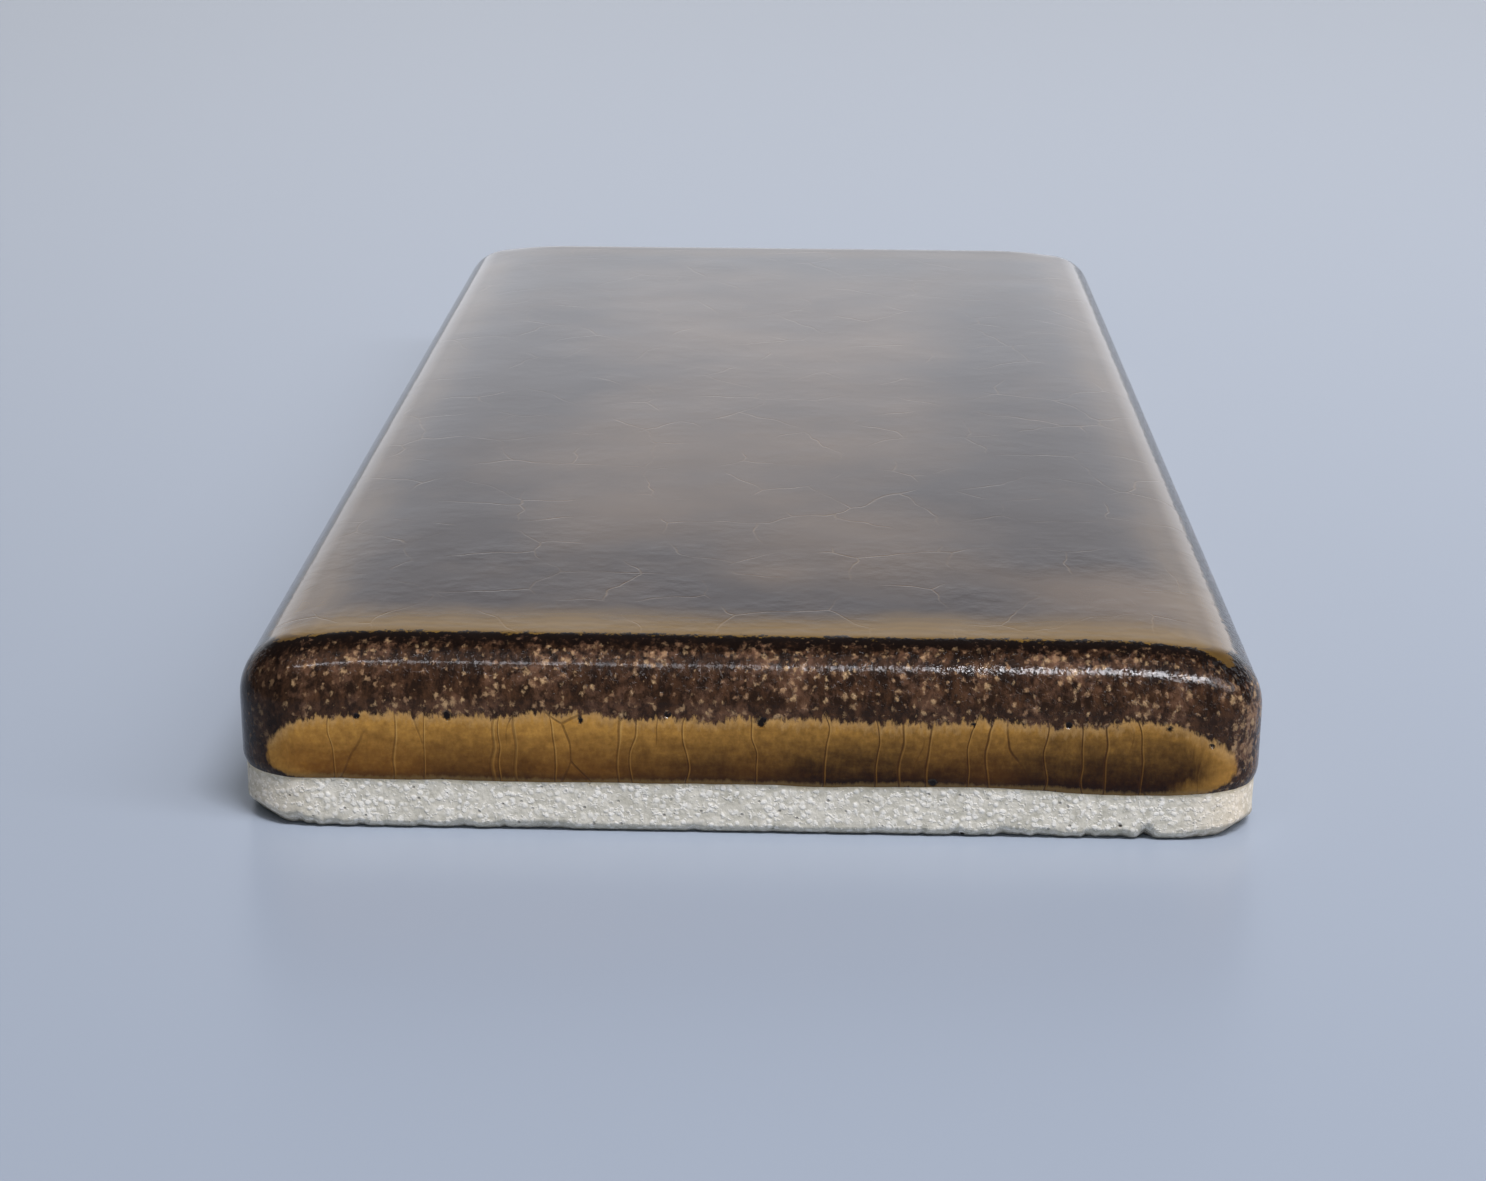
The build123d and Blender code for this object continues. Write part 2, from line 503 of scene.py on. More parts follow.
# %% Glaze tree and its measures
glaze = bpy.data.materials.new("iron_glaze")
glaze.use_nodes = True
coat = glaze.node_tree
coat_node = partial(add, coat)
coat_shader = coat.nodes["Principled BSDF"]
place = coat_node("ShaderNodeTexCoord").outputs["Object"]
place_x, place_y = coat_node(SPLIT, place).outputs[:2]
wrap_place = coat_node("ShaderNodeUVMap", uv_map="wrap").outputs["UV"]
run, to_corner, to_panel_end = (
    coat_node("ShaderNodeAttribute", attribute_name=name).outputs["Fac"]
    for name in ("run", "corner", "panel_end")
)


def stretched(across, up):
    """The unrolled side, scaled so that one unit is this many millimetres across and up."""
    return coat_node(STRETCH, wrap_place, (1 / (across * MM), 1 / (up * MM), 1.0))


print("glaze drawn from the distances run, corner and panel_end")

# %% [markdown]
# ## Zones of the glaze
# Every zone has a ragged edge. A painted mask would have to be made again for each size of tile, so an edge
# is drawn as a distance from a line on the net, and noise moves that distance before it is cut off. Towards
# the corners the panel is rounded, because molten glaze draws itself together there.

# %% Where the amber panel ends
PANEL_MIDDLE = 1.7 * MM
PANEL_ABOVE = 3.4 * MM
PANEL_BELOW = 1.9 * MM
finger_noise = coat_node(NOISE, stretched(0.5, 1.5), 1.0, 5.0, 0.7, noise_dimensions="2D")
sway_noise = coat_node(NOISE, stretched(6.0, 20.0), 1.0, 1.0, noise_dimensions="2D")
fingers = coat_node(TIMES, coat_node(MINUS, finger_noise, 0.5), 2.0 * MM)
ragged = coat_node(TIMES_PLUS, coat_node(MINUS, sway_noise, 0.5), 1.4 * MM, fingers)
end_round = coat_node(RANGE, place_x, -WIDTH / 2, WIDTH / 2, 4.0 * MM, 5.5 * MM)
left_inset = coat_node(RANGE, place_x, -WIDTH / 2, 0.0, 0.6 * MM, 0.0)
end_depth = coat_node(MINUS, to_panel_end, left_inset)
past_end = coat_node(LARGER, coat_node(OVER, coat_node(MINUS, end_round, end_depth), end_round), 0.0)
above = coat_node(OVER, coat_node(MINUS, run, PANEL_MIDDLE), PANEL_ABOVE)
below = coat_node(OVER, coat_node(MINUS, PANEL_MIDDLE, run), PANEL_BELOW)
past_side = coat_node(LARGER, above, below)
past_square = coat_node(TIMES_PLUS, past_end, past_end, coat_node(TIMES, past_side, past_side))
panel_depth = coat_node(MINUS, 1.0, coat_node(ROOT, past_square))
ragged = coat_node(TIMES, ragged, coat_node(RANGE, past_end, 0.2, 0.8, 1.0, 0.4))
panel_line = coat_node(TIMES_PLUS, panel_depth, PANEL_ABOVE, ragged)
panel_mask = coat_node(RANGE, panel_line, -0.16 * MM, 0.16 * MM)
print(f"amber panel ends {(PANEL_MIDDLE + PANEL_ABOVE) / MM:.1f} mm above the glaze line")

# %% Where the face begins
# The band ends this many degrees round the quarter circle of the edge
BAND_TOP_ANGLE = 86
BAND_TOP = WALL_HEIGHT + (EDGE_RUN - WALL_HEIGHT) * BAND_TOP_ANGLE / 90
TAIL_LENGTHS = 1.0 * MM, 2.6 * MM
TAIL_REACH = 4.0 * MM
LONG_SIDE_SHIFT = 1.9 * MM
tail_share = coat_node(RANGE, to_corner, TAIL_REACH, 0.0)
tail_length = coat_node(RANGE, place_x, -WIDTH / 2, WIDTH / 2, *TAIL_LENGTHS)
tail = coat_node(TIMES, coat_node(TIMES, tail_share, tail_share), tail_length)
edge_noise = coat_node(NOISE, place, 1 / (0.8 * MM), 5.0, 0.7)
edge_ragged = coat_node(TIMES, coat_node(MINUS, edge_noise, 0.5), 2.8 * MM)
from_side = coat_node(MINUS, WIDTH / 2, coat_node(UNSIGNED, place_x))
from_end = coat_node(MINUS, LENGTH / 2, coat_node(UNSIGNED, place_y))
on_long_side = coat_node(RANGE, coat_node(MINUS, from_end, from_side), 0.0, 4.0 * MM)
side_shift = coat_node(TIMES_PLUS, on_long_side, LONG_SIDE_SHIFT, tail)
face_line = coat_node(PLUS, coat_node(PLUS, run, side_shift), edge_ragged)
face_mask = coat_node(RANGE, face_line, BAND_TOP - 0.12 * MM, BAND_TOP + 0.12 * MM)
print(f"dark band ends {BAND_TOP / MM:.2f} mm above the glaze line")

# %% Where the band opens from black to brown, with painted shade in the corners and painted light to the right
blots = coat_node(NOISE, stretched(0.6, 0.75), 1.0, 4.0, 0.65, noise_dimensions="2D")
strip_line = coat_node(TIMES_PLUS, coat_node(MINUS, 0.5, blots), 3.6 * MM, face_line)
below_top = coat_node(RANGE, strip_line, BAND_TOP - 1.1 * MM, BAND_TOP - 2.7 * MM)
# Near the corners the band is kept black as painted shade, and to the right it opens to brown as painted
# light from the right
clear_of_corner_shade = coat_node(RANGE, to_corner, 0.5 * MM, 4.5 * MM)
right_painted_light = coat_node(RANGE, place_x, -WIDTH / 4, WIDTH / 4, 0.3, 0.85)
open_glaze_and_light = coat_node(TIMES, below_top, coat_node(LARGER, clear_of_corner_shade, right_painted_light))
print("black strip over the band 1.1 to 2.7 mm deep")

# %% [markdown]
# ## Dark band
# Round the edge the glaze broke into streaks, blots and small tan flecks. One noise can't give all three, so
# each has its own pattern at its own size, and the flecks gather where the blots lie.

# %% Streaks and blots of the band
streaks = coat_node(NOISE, stretched(0.9, 2.6), 1.0, 3.0, 0.6, noise_dimensions="2D")
fine_mottle = coat_node(NOISE, stretched(0.7, 1.0), 1.0, 5.0, 0.7, noise_dimensions="2D")
flecks = coat_node(NOISE, stretched(0.38, 0.47), 1.0, 3.0, 0.6, noise_dimensions="2D")
clumps = coat_node(NOISE, stretched(3.0, 3.6), 1.0, 2.0, 0.5, noise_dimensions="2D")
streak_tone = coat_node(RANGE, coat_node(TIMES_PLUS, streaks, 0.6, fine_mottle), 0.70, 1.08, 0.13, 1.0)
low_tone = coat_node(RANGE, run, 8.0 * MM, 5.0 * MM, 0.0, 0.2)
# How far the band opens: its black top strip, plus the painted corner shade and the painted light on the
# right
open_and_light_share = coat_node(RANGE, open_glaze_and_light, 0.0, 1.0, 0.05, 1.0)
band_tone = coat_node(TIMES, coat_node(PLUS, streak_tone, low_tone, use_clamp=True), open_and_light_share)
band_colour = coat_node(MIX, band_tone, srgb("0d0604"), srgb("493120"), data_type="RGBA")
blot_level = coat_node(TIMES_PLUS, clumps, 1.1, blots)
blot_mask = coat_node(TIMES, coat_node(RANGE, blot_level, 1.04, 1.50, 0.0, 0.6), open_glaze_and_light)
band_colour = coat_node(MIX, blot_mask, band_colour, srgb("775743"), data_type="RGBA")
print("streaks about 1 by 2.6 mm, blots 0.7 mm, in clumps of 3 mm")

# %% Flecks of the band
high_flecks = coat_node(RANGE, run, 5.0 * MM, 9.5 * MM, -0.09, 0.045)
corner_flecks = coat_node(RANGE, place_x, 33 * MM, 36.5 * MM, 0.0, 0.22)
corner_flecks = coat_node(TIMES, corner_flecks, coat_node(RANGE, to_corner, 7.0 * MM, 3.0 * MM))
high_flecks = coat_node(LARGER, high_flecks, corner_flecks)
fleck_bend = coat_node(NOISE, stretched(0.3, 0.3), 1.0, 2.0, 0.6, noise_dimensions="2D").outputs["Color"]
fleck_place = coat_node(BEND, fleck_bend, (0.45, 0.45, 0.0), stretched(0.72, 0.8))
dots = coat_node(VORONOI, fleck_place, 1.0, voronoi_dimensions="2D")
dot_pick, dot_size, dot_tone = coat_node(SPLIT, dots.outputs["Color"]).outputs
dot_edge = coat_node(RANGE, dot_size, 0.0, 1.0, 0.25, 0.6)
dot_share = coat_node(MINUS, 1.0, coat_node(OVER, dots.outputs["Distance"], dot_edge), use_clamp=True)
dot_share = coat_node(TIMES, dot_share, coat_node(RANGE, dot_pick, 0.2, 0.5, 0.0, 0.5))
fleck_level = coat_node(PLUS, coat_node(PLUS, flecks, dot_share), high_flecks)
fleck_level = coat_node(TIMES_PLUS, coat_node(MINUS, blot_level, 1.05), 0.5, fleck_level)
fleck_mask = coat_node(TIMES, coat_node(RANGE, fleck_level, 0.69, 1.04, 0.0, 0.85), open_glaze_and_light)
fleck_colour = coat_node(MIX, dot_tone, srgb("86664c"), srgb("ae9069"), data_type="RGBA")
band_colour = coat_node(MIX, fleck_mask, band_colour, fleck_colour, data_type="RGBA")
print("flecks about 0.7 mm apart, with", len(coat.nodes), "nodes so far")

# %% [markdown]
# ## Amber panel
# Low on the wall the glaze gathered in a smooth run. It is brown where it pooled, low down and to the right,
# and pale at its thin edges. A plain upward ramp would look printed, so noise shifts it before it becomes a
# colour. Craze lines cross it, each with a painted highlight along one flank, as a crack in glass catches
# light on one side.

# %% Amber panel, brown where it pooled
POOL_TOP = 4.75 * MM
mottle_noise = coat_node(NOISE, stretched(2.6, 0.9), 1.0, 5.0, 0.62, noise_dimensions="2D")
pool_noise = coat_node(NOISE, place, 1 / (9.0 * MM), 2.0)
pool_place = coat_node(TIMES_PLUS, coat_node(MINUS, mottle_noise, 0.5), 2.4 * MM, run)
pool_place = coat_node(TIMES_PLUS, coat_node(MINUS, pool_noise, 0.5), 1.6 * MM, pool_place)
right_pool = coat_node(RANGE, place_x, -WIDTH / 6, WIDTH / 2, 0.0, -1.4 * MM)
right_pool = coat_node(TIMES, right_pool, coat_node(MINUS, 1.0, on_long_side))
pool_place = coat_node(PLUS, pool_place, right_pool)
pool_place = coat_node(TIMES_PLUS, coat_node(MINUS, fine_mottle, 0.5), 2.6 * MM, pool_place)
shallow = coat_node(RANGE, pool_place, -0.8 * MM, POOL_TOP)
shallow = coat_node(TIMES, shallow, shallow)
end_shallow = coat_node(RANGE, panel_line, 2.6 * MM, 0.2 * MM, 0.0, 0.7, **SMOOTH)
shallow = coat_node(LARGER, shallow, coat_node(TIMES, end_shallow, coat_node(RANGE, past_end, 0.0, 0.3)))
pool_side = coat_node(RANGE, place_x, -WIDTH / 2, WIDTH / 2, 0.75, -0.2)
pool_side = coat_node(MIX, on_long_side, pool_side, 0.5)
pool_tone = coat_node(TIMES_PLUS, coat_node(MINUS, pool_noise, 0.5), 1.6, pool_side, use_clamp=True)
deep_colour = coat_node(MIX, pool_tone, srgb("1a0600"), srgb("6c4110"), data_type="RGBA")
amber_colour = coat_node(MIX, shallow, deep_colour, srgb("bb8a40"), data_type="RGBA")
print(f"brown pool fades out {POOL_TOP / MM:.2f} mm above the glaze line")

# %% Thin edges and fine mottle of the panel
fringe = coat_node(RANGE, panel_line, 0.8 * MM, 0.0, 0.0, 0.75)
fringe = coat_node(TIMES, fringe, coat_node(RANGE, run, 2 * MM, 3 * MM))
amber_colour = coat_node(MIX, fringe, amber_colour, srgb("c09a64"), data_type="RGBA")
fine_noise = coat_node(NOISE, place, 1 / (0.4 * MM), 3.0, 0.6)
fine_tone = coat_node(RANGE, fine_noise, 0.3, 0.7, 0.35, 0.0)
amber_colour = coat_node(MIX, fine_tone, amber_colour, srgb("3d2106"), data_type="RGBA")
lip = coat_node(RANGE, coat_node(TIMES_PLUS, ragged, 0.3, run), 0.45 * MM, 0.18 * MM, 0.0, 0.6)
amber_colour = coat_node(MIX, lip, amber_colour, srgb("957440"), data_type="RGBA")
print("pale fringe 0.8 mm wide, thin lip 0.4 mm high")

# %% Crazing of the amber panel
# Cell width and height in mm, then the sharp and the blunt edge of a line, as shares of a cell
UPRIGHT_CRAZE = 3.6, 160.0, 0.006, 0.018
BRANCH_CRAZE = 6.0, 9.0, 0.006, 0.016
craze_bend = coat_node(NOISE, place, 1 / (4.0 * MM), 1.0).outputs["Color"]


def craze_lines(across, up, sharp, blunt, shift=0.0):
    """Fine lines between cells on the unrolled side, shifted sideways by a share of a cell."""
    bent = coat_node(BEND, craze_bend, (0.45, 0.1, 0.0), stretched(across, up))
    bent = coat_node(MOVE, bent, (shift, 0.0, 0.0))
    cells = coat_node(VORONOI, bent, 1.0, voronoi_dimensions="2D", feature="DISTANCE_TO_EDGE")
    return coat_node(RANGE, cells, blunt, sharp)


upright_lines = craze_lines(*UPRIGHT_CRAZE)
branch_lines = craze_lines(*BRANCH_CRAZE, shift=0.35)
branch_lines = coat_node(TIMES, branch_lines, coat_node(RANGE, pool_noise, 0.5, 0.6))
off_end = coat_node(RANGE, past_end, 0.1, 0.5, 1.0, 0.15)
craze = coat_node(TIMES, coat_node(LARGER, upright_lines, branch_lines), off_end)
# Beside each upright craze line a pale line is painted in: a painted highlight where the crack catches light
craze_highlight_lines = craze_lines(*UPRIGHT_CRAZE, shift=-0.03)
craze_highlight_colour = coat_node(MIX, shallow, srgb("83591f"), srgb("c69a55"), data_type="RGBA")
craze_highlight_share = coat_node(RANGE, place_x, -WIDTH / 3, WIDTH / 3, 0.75, 0.35)
craze_highlight = coat_node(TIMES, coat_node(TIMES, craze_highlight_lines, craze_highlight_share), off_end)
amber_colour = coat_node(MIX, craze_highlight, amber_colour, craze_highlight_colour, data_type="RGBA")
craze_share = coat_node(RANGE, place_x, -WIDTH / 3, WIDTH / 3, 0.4, 0.8)
craze_tone = coat_node(TIMES, craze, craze_share)
amber_colour = coat_node(MIX, craze_tone, amber_colour, srgb("3a1f06"), data_type="RGBA")
print("upright craze lines about", UPRIGHT_CRAZE[0], "mm apart")

# %% [markdown]
# ## Face
# The face is a thin, even coat: cloudy browns, and an amber rim where the glaze drew back from the edge.
# Noise alone puts the clouds anywhere, so the large ones are placed one by one and noise blurs them together.

# %% Clouds of the face
FACE_PATCHES = (
    # x, y and radius in mm, and how far the patch leans to amber
    (-11, -40, 9, 0.3), (1, -56, 4, 0.4), (-8, -18, 14, 0.25), (6, 20, 18, 0.2), (-27, 3, 12, -0.8),
    (13, -33, 10, -0.5), (4, 28, 7, -0.25), (-6, -50, 10, -0.3), (26, -20, 9, -0.3), (29, -62, 9, 1.0),
)
PATCH_FADE = 1.4
cloud_noise = coat_node(NOISE, place, 1 / (15 * MM), 5.0, 0.6)
cloud_level = coat_node(TIMES, coat_node(MINUS, cloud_noise, 0.5), 1.5)
inside = coat_node(RANGE, run, FACE_RUN + 7 * MM, FACE_RUN + 22 * MM, 0.05, 0.55, **SMOOTH)
cloud_level = coat_node(PLUS, cloud_level, inside)
for x, y, radius, lean in FACE_PATCHES:
    centre = (x * MM, y * MM, THICKNESS)
    distance = coat_node(DISTANCE, place, centre).outputs["Value"]
    patch = coat_node(RANGE, distance, radius * MM * PATCH_FADE, 0.0, 0.0, lean, **SMOOTH)
    cloud_level = coat_node(PLUS, cloud_level, patch)
cloud_tone = coat_node(RANGE, cloud_level, 0.0, 1.0)
face_colour = coat_node(MIX, cloud_tone, srgb("2a1e19"), srgb("574635"), data_type="RGBA")
print("face patches:", len(FACE_PATCHES))

# %% Amber rim of the face
rim_noise = coat_node(NOISE, place, 1 / (7 * MM), 3.0)
rim_place = coat_node(TIMES_PLUS, coat_node(MINUS, rim_noise, 0.5), 4.0 * MM, run)
rim_place = coat_node(TIMES_PLUS, on_long_side, 2.9 * MM, rim_place)
rim_tone = coat_node(RANGE, rim_place, FACE_RUN + 6.0 * MM, FACE_RUN + 0.5 * MM, **SMOOTH)
front_share = coat_node(RANGE, place_y, -LENGTH / 2 + 30 * MM, -LENGTH / 2 + 6 * MM, 0.6, 1.0)
far_share = coat_node(RANGE, place_y, LENGTH / 2 - 14 * MM, LENGTH / 2 - 4 * MM, 1.0, 0.15)
corner_share = coat_node(RANGE, to_corner, 5.0 * MM, 0.0, 1.0, 0.45)
front_share = coat_node(TIMES, coat_node(TIMES, front_share, far_share), corner_share)
ring_wave = coat_node(TIMES, coat_node(TIMES_PLUS, rim_noise, 3.0 * MM, run), 2 * math.pi / (1.1 * MM))
ring_lines = coat_node(RANGE, coat_node("ShaderNodeMath SINE", ring_wave), -1.0, 1.0, 0.86, 1.0)
rim_mix = coat_node(TIMES, coat_node(TIMES, rim_tone, ring_lines), front_share)
rim_colour = coat_node(MIX, on_long_side, srgb("6a501d"), srgb("66533a"), data_type="RGBA")
face_colour = coat_node(MIX, rim_mix, face_colour, rim_colour, data_type="RGBA")
print("amber rim about 5 mm wide")

# %% Crazing of the face
face_bend = coat_node(NOISE, place, 1 / (6.0 * MM), 2.0).outputs["Color"]
bent_place = coat_node(BEND, face_bend, (4 * MM, 4 * MM, 0.0), place)
craze_cells = coat_node(
    VORONOI, bent_place, 1 / (8.0 * MM), voronoi_dimensions="2D", feature="DISTANCE_TO_EDGE"
)
face_craze = coat_node(RANGE, craze_cells, 0.014, 0.004)
face_craze = coat_node(TIMES, face_craze, coat_node(RANGE, rim_noise, 0.45, 0.6))
face_craze_tone = coat_node(TIMES, face_craze, 0.2)
face_colour = coat_node(MIX, face_craze_tone, face_colour, srgb("8a7352"), data_type="RGBA")
print("face craze cells 8 mm across")

# %% [markdown]
# ## Zones together, relief and gloss
# The masks lay the zones over each other, and pinholes are left where gas broke through the melt, with
# painted shade inside them. Relief this fine is far smaller than a cell of the mesh, so a bump node tilts the
# reflections instead.
# On the band that breaks the line of light into glints.

# %% Zones together, with pinholes where two zones meet
FRONT_PINHOLES = (
    # x, z and radius in mm on the front wall
    (-21.6, 9.0, 0.45), (1.0, 8.8, 0.4), (30.2, 8.8, 0.3), (13.4, 4.3, 0.4), (-12.0, 8.8, 0.25),
)
glaze_colour = coat_node(MIX, panel_mask, band_colour, amber_colour, data_type="RGBA")
glaze_colour = coat_node(MIX, face_mask, glaze_colour, face_colour, data_type="RGBA")
pinholes = coat_node(VORONOI, stretched(3.2, 3.2), 1.0, voronoi_dimensions="2D")
pin_pick = coat_node(RANGE, coat_node(SPLIT, pinholes.outputs["Color"]).outputs["X"], 0.55, 0.6)
near_line = coat_node(RANGE, coat_node(UNSIGNED, panel_line), 0.5 * MM, 0.3 * MM)
pin_mask = coat_node(TIMES, coat_node(TIMES, coat_node(RANGE, pinholes, 0.09, 0.06), pin_pick), near_line)
for x, z, radius in FRONT_PINHOLES:
    distance = coat_node(DISTANCE, place, (x * MM, tile_low.y, z * MM)).outputs["Value"]
    distance = coat_node(TIMES_PLUS, coat_node(MINUS, fine_noise, 0.5), 0.5 * MM, distance)
    pin_mask = coat_node(LARGER, pin_mask, coat_node(RANGE, distance, radius * MM, 0.5 * radius * MM))
# The pinholes are made near-black: painted shade inside the holes
glaze_colour = coat_node(MIX, pin_mask, glaze_colour, srgb("120905"), data_type="RGBA")
print("pinholes placed by hand:", len(FRONT_PINHOLES))

# %% Fine relief and gloss of the glaze
in_band = coat_node(TIMES, coat_node(MINUS, 1.0, panel_mask), coat_node(MINUS, 1.0, face_mask))
rougher_right = coat_node(RANGE, place_x, -0.45 * WIDTH, 0.3 * WIDTH, 0.3, 1.5)
skin = coat_node(TIMES, coat_node(MINUS, coat_node(PLUS, flecks, blots), 1.0), 0.014 * MM)
raised = coat_node(TIMES_PLUS, coat_node(RANGE, flecks, 0.54, 0.64), 0.020 * MM, skin)
smooth_top = coat_node(RANGE, run, BAND_TOP - 2.4 * MM, BAND_TOP - 1.2 * MM, 1.0, 0.15)
band_height = coat_node(TIMES, raised, coat_node(TIMES, rougher_right, smooth_top))
height = coat_node(TIMES, band_height, in_band)
height = coat_node(TIMES_PLUS, coat_node(TIMES, craze, panel_mask), -0.02 * MM, height)
height = coat_node(TIMES_PLUS, coat_node(TIMES, face_craze, face_mask), -0.006 * MM, height)
height = coat_node(TIMES_PLUS, pin_mask, -0.1 * MM, height)
peel = coat_node(NOISE, place, 1 / (1.8 * MM), 3.0)
near_front = coat_node(RANGE, place_y, -38 * MM, -54 * MM, 0.3, 1.0)
peel_here = coat_node(TIMES, coat_node(RANGE, rim_noise, 0.42, 0.62, 0.25, 1.0), near_front)
height = coat_node(TIMES_PLUS, coat_node(TIMES, peel, peel_here), 0.03 * MM, height)
glaze_bump = coat_node("ShaderNodeBump", 1.0, 1.0, None, height)
# Glaze is glass, with an IOR near 1.5. It is lowered until the wall mirrors as weakly as the real one and
# its colours stay deep. The small roughness keeps the line of light crisp
coat_shader.inputs["IOR"].default_value = 1.28
coat_shader.inputs["Roughness"].default_value = 0.08
coat.links.new(glaze_colour.outputs[2], coat_shader.inputs["Base Color"])
coat.links.new(glaze_bump.outputs["Normal"], coat_shader.inputs["Normal"])
print("iron glaze:", len(coat.nodes), "nodes")

# %% [markdown]
# ## Folding the net
# The fold is a rule: a point's distance up the side says whether it lies on the foot, the wall or the round
# edge, and the section's sizes say where that is. It could be worked out point by point in Python, but in
# Geometry Nodes the rule stands in one tree with a named input for each size, so a size can be turned by
# hand. The tree then presses the small relief of the fired clay and the glaze into the surface.

# %% Inputs of the fold
FOLD_SIZES = {
    "Core half width": core_x,
    "Core half length": core_y,
    "Half width": WIDTH / 2,
    "Thickness": THICKNESS,
    "Foot height": FOOT_HEIGHT,
    "Wall height": WALL_HEIGHT,
    "Cushion radius": CUSHION_RADIUS,
    "Corner radius": CORNER_RADIUS,
    "Shoulder width": SHOULDER_WIDTH,
    "Shoulder radius": SHOULDER_RADIUS,
    "Glaze build": GLAZE_BUILD,
    "Lip height": LIP_HEIGHT,
    "Base arris": BASE_ARRIS,
    "Chip depth": 0.5 * MM,
    "Glaze line wave": 1.1 * MM,
    "Wave fade": 3.6 * MM,
    "Foot grit": 0.12 * MM,
    "Face swell": 0.12 * MM,
}
fold = bpy.data.node_groups.new("fold_tile", "GeometryNodeTree")
fold_node = partial(add, fold)
fold.interface.new_socket("Net", in_out="INPUT", socket_type="NodeSocketGeometry")
fold.interface.new_socket("Tile", in_out="OUTPUT", socket_type="NodeSocketGeometry")
identifiers = {
    name: fold.interface.new_socket(name, in_out="INPUT", socket_type="NodeSocketFloat").identifier
    for name in FOLD_SIZES
}
size = fold_node("NodeGroupInput").outputs
print("fold has", len(FOLD_SIZES), "named sizes")

# %% Where a point stands on the net
flat = fold_node("GeometryNodeInputPosition")
flat_xyz = fold_node(SPLIT, flat).outputs
run_field = fold_node("GeometryNodeInputNamedAttribute", "run", data_type="FLOAT").outputs["Attribute"]
core_corner = fold_node(COMBINE, size["Core half width"], size["Core half length"], 0.0)
core = fold_node("ShaderNodeVectorMath MINIMUM", flat, core_corner)
core = fold_node("ShaderNodeVectorMath MAXIMUM", core, fold_node(SCALE, core_corner, -1.0))
away = fold_node("ShaderNodeVectorMath SUBTRACT", flat, core)
out = fold_node("ShaderNodeVectorMath NORMALIZE", away)
out_x = fold_node(UNSIGNED, fold_node(SPLIT, out).outputs["X"])
away_length = fold_node("ShaderNodeVectorMath LENGTH", away).outputs["Value"]
on_band = fold_node("ShaderNodeMath GREATER_THAN", away_length, 0.01 * MM)
print(f"grid of the face reaches {core_x / MM:.1f} by {core_y / MM:.1f} mm from the middle")

# %% The crowned face
flat_half = fold_node(MINUS, size["Half width"], size["Shoulder width"])
past_flat = fold_node(LARGER, fold_node(MINUS, fold_node(UNSIGNED, flat_xyz["X"]), flat_half), 0.0)
shoulder_square = fold_node(TIMES, size["Shoulder radius"], size["Shoulder radius"])
crown_arc = fold_node(ROOT, fold_node(MINUS, shoulder_square, fold_node(TIMES, past_flat, past_flat)))
shoulder_centre = fold_node(MINUS, size["Thickness"], size["Shoulder radius"])
crown_z = fold_node(PLUS, crown_arc, shoulder_centre)
shoulder_fall = SHOULDER_RADIUS - math.sqrt(SHOULDER_RADIUS ** 2 - SHOULDER_WIDTH ** 2)
print(f"a shoulder falls {shoulder_fall / MM:.2f} mm over its width")

# %% The spine that the cushion edge rolls round
spine_radius = fold_node(MINUS, size["Corner radius"], size["Cushion radius"])
spine = fold_node(MOVE, core, fold_node(SCALE, out, spine_radius))
spine_x = fold_node(UNSIGNED, fold_node(SPLIT, spine).outputs["X"])
spine_past = fold_node(LARGER, fold_node(MINUS, spine_x, flat_half), 0.0)
rolling_radius = fold_node(MINUS, size["Shoulder radius"], size["Cushion radius"])
rolling_square = fold_node(TIMES, rolling_radius, rolling_radius)
spine_arc = fold_node(ROOT, fold_node(MINUS, rolling_square, fold_node(TIMES, spine_past, spine_past)))
spine_z = fold_node(PLUS, spine_arc, shoulder_centre)
tilt_sine = fold_node(OVER, fold_node(TIMES, spine_past, out_x), rolling_radius)
tilt = fold_node("ShaderNodeMath ARCSINE", tilt_sine)
print(f"spine turns the corner on a radius of {(CORNER_RADIUS - CUSHION_RADIUS) / MM:.1f} mm")

# %% The cushion edge, the wall and the foot
quarter = fold_node(TIMES, size["Cushion radius"], math.pi / 2)
edge_share = fold_node(OVER, fold_node(MINUS, run_field, size["Wall height"]), quarter, use_clamp=True)
roll = fold_node(TIMES, edge_share, fold_node(MINUS, math.pi / 2, tilt))
edge_out = fold_node(TIMES, fold_node("ShaderNodeMath COSINE", roll), size["Cushion radius"])
edge_up = fold_node(TIMES, fold_node("ShaderNodeMath SINE", roll), size["Cushion radius"])
outer = fold_node(MOVE, spine, fold_node(SCALE, out, edge_out))
wall_share = fold_node(OVER, run_field, size["Wall height"], use_clamp=True)
wall_rise = fold_node(MINUS, spine_z, size["Foot height"])
wall_z = fold_node(TIMES_PLUS, wall_share, wall_rise, size["Foot height"])
foot_z = fold_node(PLUS, wall_z, fold_node(SMALLER, run_field, 0.0))
side_z = fold_node(PLUS, foot_z, edge_up)
print(f"edge {(EDGE_RUN - WALL_HEIGHT) / MM:.2f} mm round, wall {WALL_HEIGHT / MM:.1f} mm high")

